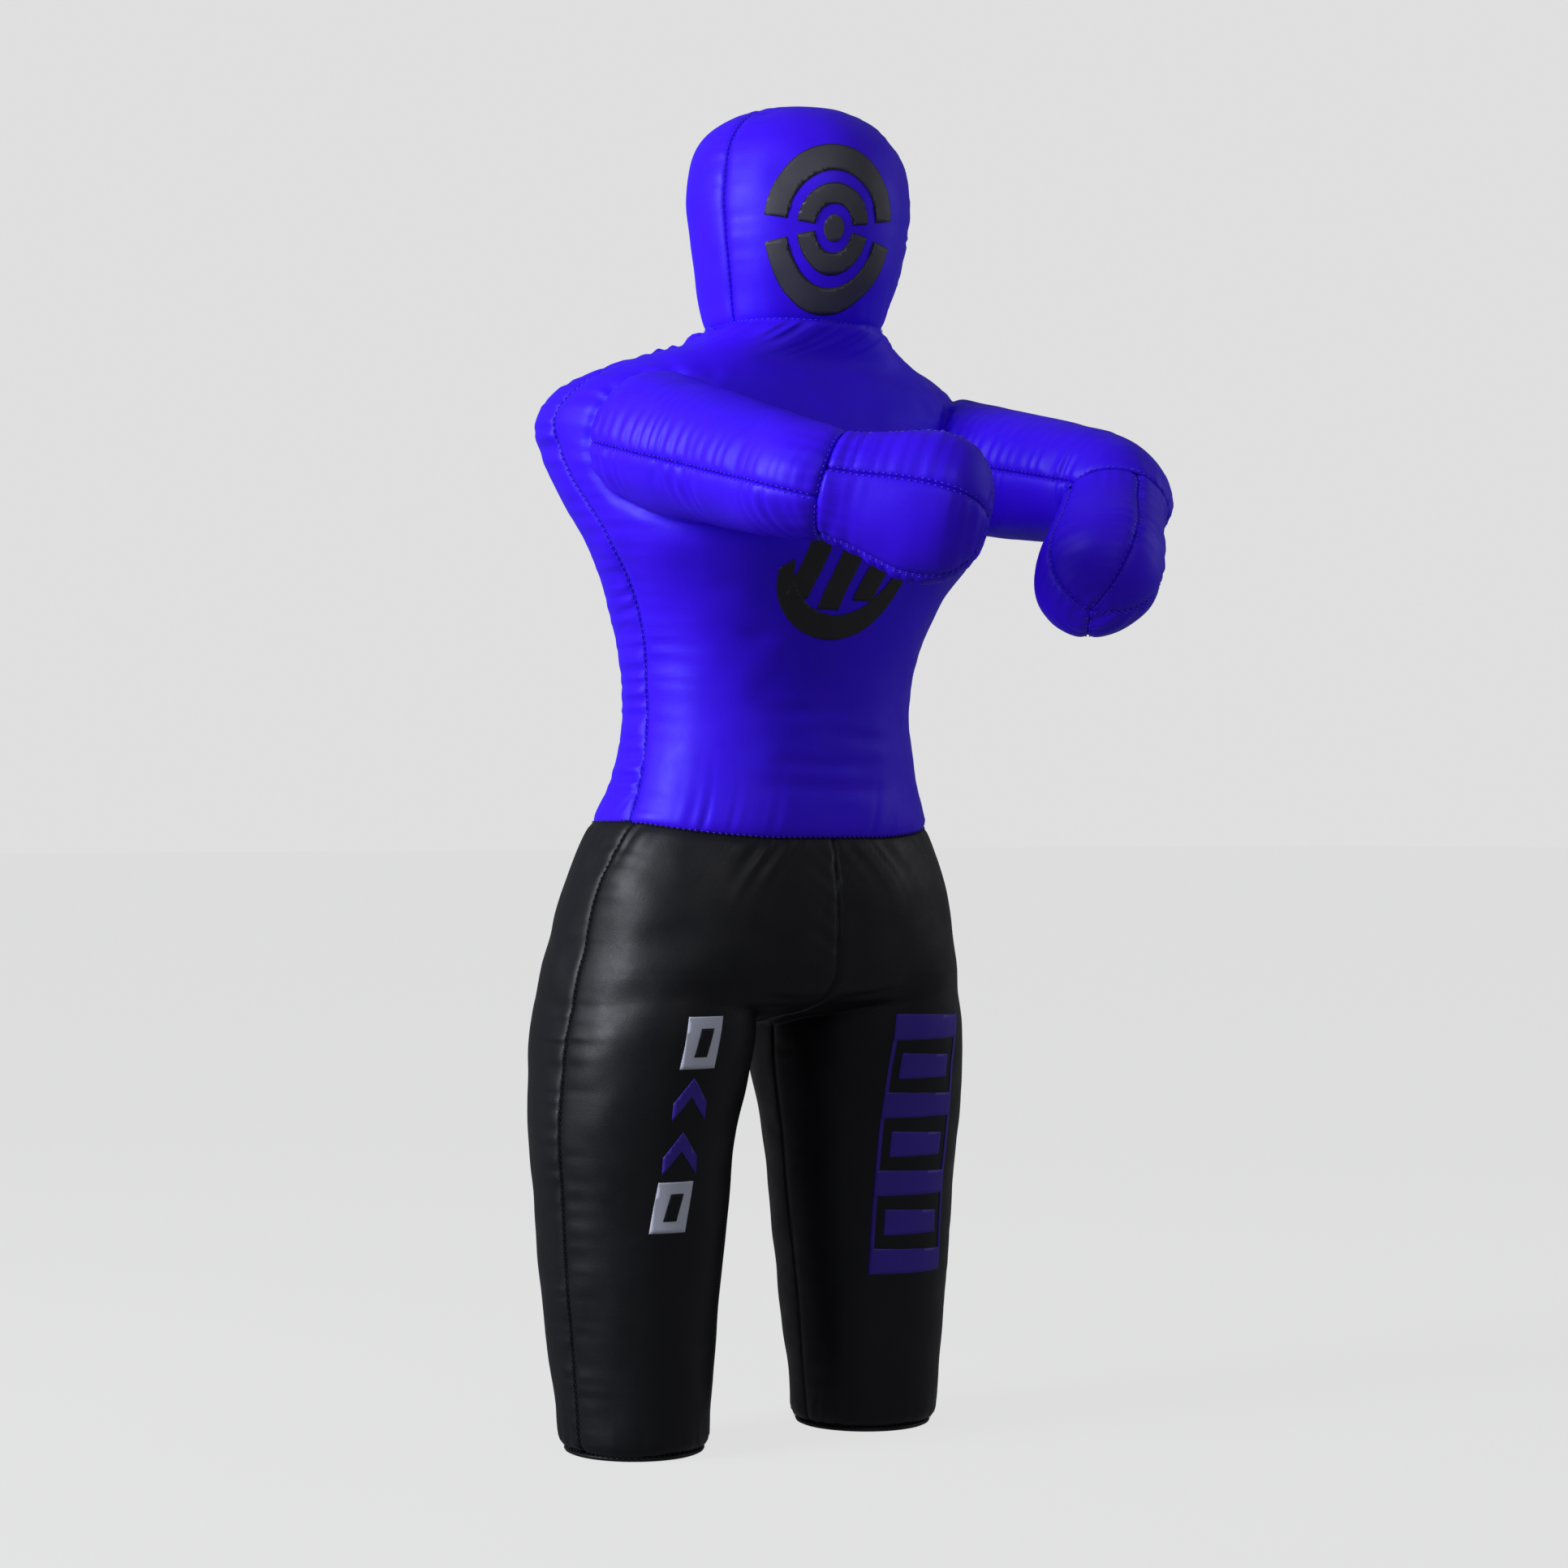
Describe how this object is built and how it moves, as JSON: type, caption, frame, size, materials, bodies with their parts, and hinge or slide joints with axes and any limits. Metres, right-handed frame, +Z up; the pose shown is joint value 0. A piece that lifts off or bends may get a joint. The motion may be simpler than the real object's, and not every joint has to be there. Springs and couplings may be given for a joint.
{
  "type": "grappling dummy",
  "caption": "Stuffed human-shaped grappling dummy that stands on two knee-length legs, with arms bent forward and a back zip.",
  "frame": {"origin": "on the floor, midway between the two leg ends", "axes": "+Z up towards the crown, face towards -Y, the dummy's left arm on +X"},
  "size_m": [0.516, 0.6509, 1.39],
  "materials": {
    "blue_cover": "satin synthetic leather",
    "black_cover": "satin synthetic leather",
    "stuffing": "packed rag and foam",
    "zip_tape": "woven tape",
    "zip_metal": "satin metal"
  },
  "bodies": {
    "pelvis": {"pelvis_stuffing": "stuffing", "trouser_back_panel_left": "black_cover", "trouser_back_panel_right": "black_cover", "trouser_front_panel_left": "black_cover", "trouser_front_panel_right": "black_cover"},
    "leg_right": {"leg_sole_right": "black_cover", "leg_stuffing_right": "stuffing"},
    "leg_left": {"leg_sole_left": "black_cover", "leg_stuffing_left": "stuffing"},
    "torso": {"torso_back_panel_left": "blue_cover", "torso_back_panel_right": "blue_cover", "torso_front_panel": "blue_cover", "torso_stuffing": "stuffing", "zip_bottom_stop": "zip_metal", "zip_tape_left": "zip_tape", "zip_tape_right": "zip_tape", "zip_teeth_left": "zip_metal", "zip_teeth_right": "zip_metal", "zip_top_stops": "zip_metal"},
    "neck": {"neck_stuffing": "stuffing"},
    "head": {"head_face_panel": "blue_cover", "head_side_panel_left": "blue_cover", "head_side_panel_right": "blue_cover", "head_stuffing": "stuffing"},
    "shoulder_right": {"shoulder_stuffing_right": "stuffing"},
    "shoulder_left": {"shoulder_stuffing_left": "stuffing"},
    "upper_arm_right": {"sleeve_top_right": "blue_cover", "sleeve_under_right": "blue_cover", "upper_arm_stuffing_right": "stuffing"},
    "upper_arm_left": {"sleeve_top_left": "blue_cover", "sleeve_under_left": "blue_cover", "upper_arm_stuffing_left": "stuffing"},
    "forearm_right": {"forearm_inner_right": "blue_cover", "forearm_outer_right": "blue_cover", "forearm_stuffing_right": "stuffing", "forearm_top_right": "blue_cover", "forearm_under_right": "blue_cover"},
    "forearm_left": {"forearm_inner_left": "blue_cover", "forearm_outer_left": "blue_cover", "forearm_stuffing_left": "stuffing", "forearm_top_left": "blue_cover", "forearm_under_left": "blue_cover"},
    "zip_slider": {"zip_slider": "zip_metal"},
    "zip_pull": {"zip_pull": "zip_metal"}
  },
  "joints": [
    {"name": "hip_swing_right", "type": "hinge", "parent": "pelvis", "child": "leg_right", "pos_m": [-0.115, 0.002, 0.5], "axis": [1, 0, 0], "range_deg": [-25, 35], "deforming": ["trouser_back_panel_right", "trouser_front_panel_right", "trouser_back_panel_left", "trouser_front_panel_left"]},
    {"name": "hip_swing_left", "type": "hinge", "parent": "pelvis", "child": "leg_left", "pos_m": [0.115, 0.002, 0.5], "axis": [1, 0, 0], "range_deg": [-25, 35], "deforming": ["trouser_back_panel_right", "trouser_front_panel_right", "trouser_back_panel_left", "trouser_front_panel_left"]},
    {"name": "waist_bend", "type": "hinge", "parent": "pelvis", "child": "torso", "pos_m": [0, -0.02, 0.706], "axis": [1, 0, 0], "range_deg": [-12, 25], "deforming": ["torso_back_panel_left", "torso_back_panel_right", "torso_front_panel", "trouser_back_panel_right", "trouser_front_panel_right", "trouser_back_panel_left", "trouser_front_panel_left"]},
    {"name": "neck_turn", "type": "hinge", "parent": "torso", "child": "neck", "pos_m": [0, -0.072, 1.165], "axis": [0, 0, 1], "range_deg": [-45, 45], "deforming": ["torso_back_panel_left", "torso_back_panel_right", "torso_front_panel", "head_face_panel", "head_side_panel_left", "head_side_panel_right"]},
    {"name": "head_nod", "type": "hinge", "parent": "neck", "child": "head", "pos_m": [0, -0.072, 1.165], "axis": [1, 0, 0], "range_deg": [-18, 18], "deforming": ["torso_back_panel_left", "torso_back_panel_right", "torso_front_panel", "head_face_panel", "head_side_panel_left", "head_side_panel_right"]},
    {"name": "shoulder_spread_right", "type": "hinge", "parent": "torso", "child": "shoulder_right", "pos_m": [-0.19, -0.105, 1.029], "axis": [0, 0, -1], "range_deg": [0, 35], "deforming": ["torso_back_panel_left", "torso_back_panel_right", "torso_front_panel", "sleeve_top_right", "sleeve_under_right"]},
    {"name": "shoulder_lift_right", "type": "hinge", "parent": "shoulder_right", "child": "upper_arm_right", "pos_m": [-0.19, -0.105, 1.029], "axis": [-1, 0, 0], "range_deg": [-20, 40], "deforming": ["torso_back_panel_left", "torso_back_panel_right", "torso_front_panel", "sleeve_top_right", "sleeve_under_right"]},
    {"name": "elbow_bend_right", "type": "hinge", "parent": "upper_arm_right", "child": "forearm_right", "pos_m": [-0.19, -0.36321, 0.96939], "axis": [0, 0.225, -0.9744], "range_deg": [-12, 35], "deforming": ["sleeve_top_right", "sleeve_under_right", "forearm_inner_right", "forearm_outer_right", "forearm_top_right", "forearm_under_right"]},
    {"name": "shoulder_spread_left", "type": "hinge", "parent": "torso", "child": "shoulder_left", "pos_m": [0.19, -0.105, 1.029], "axis": [0, 0, 1], "range_deg": [0, 35], "deforming": ["torso_back_panel_left", "torso_back_panel_right", "torso_front_panel", "sleeve_top_left", "sleeve_under_left"]},
    {"name": "shoulder_lift_left", "type": "hinge", "parent": "shoulder_left", "child": "upper_arm_left", "pos_m": [0.19, -0.105, 1.029], "axis": [-1, 0, 0], "range_deg": [-20, 40], "deforming": ["torso_back_panel_left", "torso_back_panel_right", "torso_front_panel", "sleeve_top_left", "sleeve_under_left"]},
    {"name": "elbow_bend_left", "type": "hinge", "parent": "upper_arm_left", "child": "forearm_left", "pos_m": [0.19, -0.36548, 0.98025], "axis": [0, -0.184, 0.9829], "range_deg": [-12, 35], "deforming": ["sleeve_top_left", "sleeve_under_left", "forearm_inner_left", "forearm_outer_left", "forearm_top_left", "forearm_under_left"]},
    {"name": "zip_slide", "type": "slide", "parent": "torso", "child": "zip_slider", "axis": [0, 0, -1], "range_m": [0, 0.14]},
    {"name": "zip_pull_swing", "type": "hinge", "parent": "zip_slider", "child": "zip_pull", "pos_m": [0, 0.10112, 0.9217], "axis": [1, 0, 0], "range_deg": [0, 100]}
  ]
}
